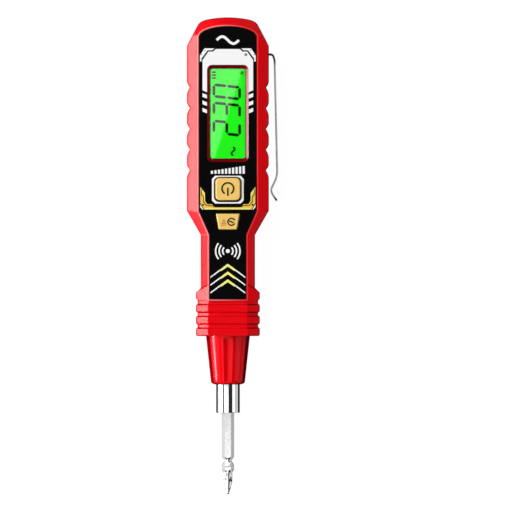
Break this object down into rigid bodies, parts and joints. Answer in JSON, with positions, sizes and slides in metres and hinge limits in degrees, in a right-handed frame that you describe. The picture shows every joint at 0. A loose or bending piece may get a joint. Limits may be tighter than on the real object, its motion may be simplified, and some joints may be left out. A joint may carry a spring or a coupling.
{
  "type": "non contact voltage tester",
  "caption": "Pocket voltage tester pen with a green display, two keys, a side pocket clip, a ribbed grip collar and a double-ended driver bit in a chrome socket.",
  "frame": {"origin": "on the flat back of the case that the pen lies on, on the centre line between the battery door and the neck", "axes": "+Y along the pen to its tail, +Z out of the display, +X towards the pocket clip"},
  "size_m": [0.0338, 0.1765, 0.0225],
  "materials": {
    "red_case": "satin moulded",
    "red_collar": "satin moulded",
    "red_nose": "polished",
    "chrome_socket": "mirror plated",
    "nickel": "nickel plated",
    "spring_wire": "drawn wire",
    "bit_steel": "satin plated tool steel",
    "clip_steel": "polished spring steel",
    "black_label": "printed film",
    "clear_lens": "clear moulded",
    "foam": "foam",
    "lcd_green": "backlit green",
    "light_guide": "translucent",
    "led": "moulded",
    "zebra_rubber": "layered",
    "board": "solder mask",
    "black_plastic": "moulded",
    "tan_key": "satin moulded",
    "cell_wrap": "plain sleeve",
    "screw_zinc": "zinc plated"
  },
  "bodies": {
    "case": {"front_shell": "red_case", "rear_shell": "red_case", "grip_collar": "red_collar", "nose_cone": "red_nose", "bit_socket": "chrome_socket", "socket_magnet": "nickel", "antenna_spring": "spring_wire", "antenna_contact": "nickel", "face_label": "black_label", "display_lens": "clear_lens", "lens_gasket": "foam", "lcd_panel": "lcd_green", "lcd_backlight": "light_guide", "backlight_led_left": "led", "backlight_led_right": "led", "lcd_connector": "zebra_rubber", "main_board": "board", "controller_chip": "black_plastic", "buzzer": "black_plastic", "power_switch": "black_plastic", "mode_switch": "black_plastic", "battery_1": "cell_wrap", "battery_2": "cell_wrap", "battery_spring_1": "spring_wire", "battery_spring_2": "spring_wire", "battery_link_plate": "nickel", "positive_terminal": "nickel", "negative_terminal": "nickel", "shell_screw_top": "screw_zinc", "shell_screw_left": "screw_zinc", "shell_screw_right": "screw_zinc"},
    "power_key": {"power_button": "tan_key", "power_switch_plunger": "nickel"},
    "mode_key": {"mode_button": "tan_key", "mode_switch_plunger": "nickel"},
    "clip": {"pocket_clip": "clip_steel"},
    "bit": {"screwdriver_bit": "bit_steel"},
    "door": {"battery_door": "red_case", "battery_door_screw": "screw_zinc"}
  },
  "joints": [
    {"name": "power_press", "type": "slide", "parent": "case", "child": "power_key", "axis": [0, 0, -1], "range_m": [0, 0.0005], "stiffness_N_per_m": 400},
    {"name": "mode_press", "type": "slide", "parent": "case", "child": "mode_key", "axis": [0, 0, -1], "range_m": [0, 0.0005], "stiffness_N_per_m": 400},
    {"name": "clip_flex", "type": "hinge", "parent": "case", "child": "clip", "pos_m": [0.0143, 0.0551, 0.011], "axis": [0, 0, 1], "range_deg": [0, 5], "stiffness_Nm_per_rad": 1},
    {"name": "bit_pull", "type": "slide", "parent": "case", "child": "bit", "axis": [0, -1, 0], "range_m": [0, 0.045]},
    {"name": "door_swing", "type": "hinge", "parent": "case", "child": "door", "pos_m": [0, 0.0033, 0], "axis": [-1, 0, 0], "range_deg": [0, 90]}
  ]
}
